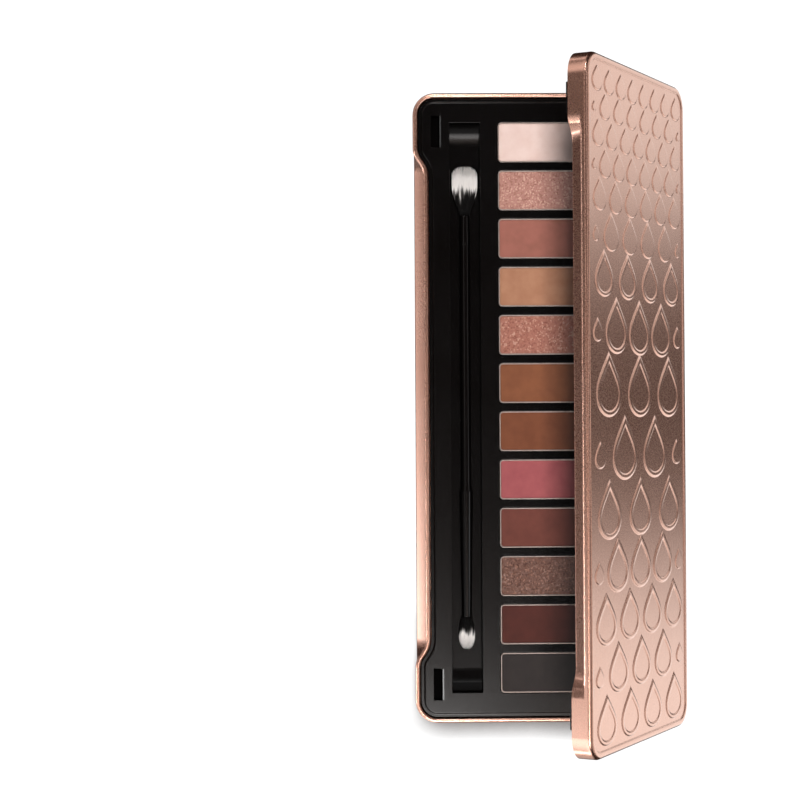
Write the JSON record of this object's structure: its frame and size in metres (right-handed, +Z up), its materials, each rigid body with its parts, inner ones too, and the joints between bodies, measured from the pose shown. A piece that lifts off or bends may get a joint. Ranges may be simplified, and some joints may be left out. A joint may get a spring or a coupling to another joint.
{
  "type": "eyeshadow palette",
  "caption": "Slim hinged metal eyeshadow palette with rectangular pressed-powder pans, a double-ended brush lying in a channel and a mirror in the lid.",
  "frame": {"origin": "centre of the flat underside of the case, which rests on the table", "axes": "+X along the case with the pale shade at -X and the dark shade at +X, +Y from the front edge with the finger recess to the hinge edge, +Z up"},
  "size_m": [0.2, 0.0854, 0.0835],
  "materials": {
    "rose_gold_lacquer": "satin rose-gold lacquer on pressed tinplate",
    "satin_black": "satin black moulded plastic",
    "gloss_black": "semi-gloss black lacquer",
    "pan_tin": "bright tinplate",
    "hinge_steel": "drawn steel wire",
    "mirror": "silvered glass",
    "adhesive_foam": "thin white foam sheet",
    "brush_hair": "soft synthetic hair, black at the root and white at the tip",
    "powder_pale_cream_pink": "pressed powder, matte",
    "powder_rose_bronze_shimmer": "pressed powder with fine glitter",
    "powder_dusty_rose": "pressed powder, matte",
    "powder_soft_tan": "pressed powder, matte",
    "powder_rose_shimmer": "pressed powder with fine glitter",
    "powder_ochre_brown": "pressed powder, matte",
    "powder_warm_brown": "pressed powder, matte",
    "powder_mid_pink": "pressed powder, matte",
    "powder_brick_brown": "pressed powder, matte",
    "powder_taupe_shimmer": "pressed powder with fine glitter",
    "powder_dark_maroon": "pressed powder, matte",
    "powder_charcoal": "pressed powder, matte"
  },
  "bodies": {
    "case": {"base_tray": "rose_gold_lacquer", "insert_tray": "satin_black", "base_hinge_leaves": "rose_gold_lacquer", "hinge_pin_left": "hinge_steel", "hinge_pin_right": "hinge_steel", "pan_01": "pan_tin", "pan_02": "pan_tin", "pan_03": "pan_tin", "pan_04": "pan_tin", "pan_05": "pan_tin", "pan_06": "pan_tin", "pan_07": "pan_tin", "pan_08": "pan_tin", "pan_09": "pan_tin", "pan_10": "pan_tin", "pan_11": "pan_tin", "pan_12": "pan_tin", "powder_01": "powder_pale_cream_pink", "powder_02": "powder_rose_bronze_shimmer", "powder_03": "powder_dusty_rose", "powder_04": "powder_soft_tan", "powder_05": "powder_rose_shimmer", "powder_06": "powder_ochre_brown", "powder_07": "powder_warm_brown", "powder_08": "powder_mid_pink", "powder_09": "powder_brick_brown", "powder_10": "powder_taupe_shimmer", "powder_11": "powder_dark_maroon", "powder_12": "powder_charcoal"},
    "lid": {"lid_shell": "rose_gold_lacquer", "lid_hinge_leaves": "rose_gold_lacquer", "lid_lining": "satin_black", "mirror_glass": "mirror", "mirror_adhesive": "adhesive_foam"},
    "brush": {"brush_handle": "gloss_black", "brush_ferrule_large": "gloss_black", "brush_ferrule_small": "gloss_black", "brush_tuft_large": "brush_hair", "brush_tuft_small": "brush_hair"}
  },
  "joints": [
    {"name": "lid_hinge", "type": "hinge", "parent": "case", "child": "lid", "pos_m": [0, 0.0409, 0.01015], "axis": [-1, 0, 0], "range_deg": [-61, 59]},
    {"name": "brush_slide", "type": "slide", "parent": "case", "child": "brush", "axis": [1, 0, 0], "range_m": [-0.0084, 0.0084]}
  ]
}
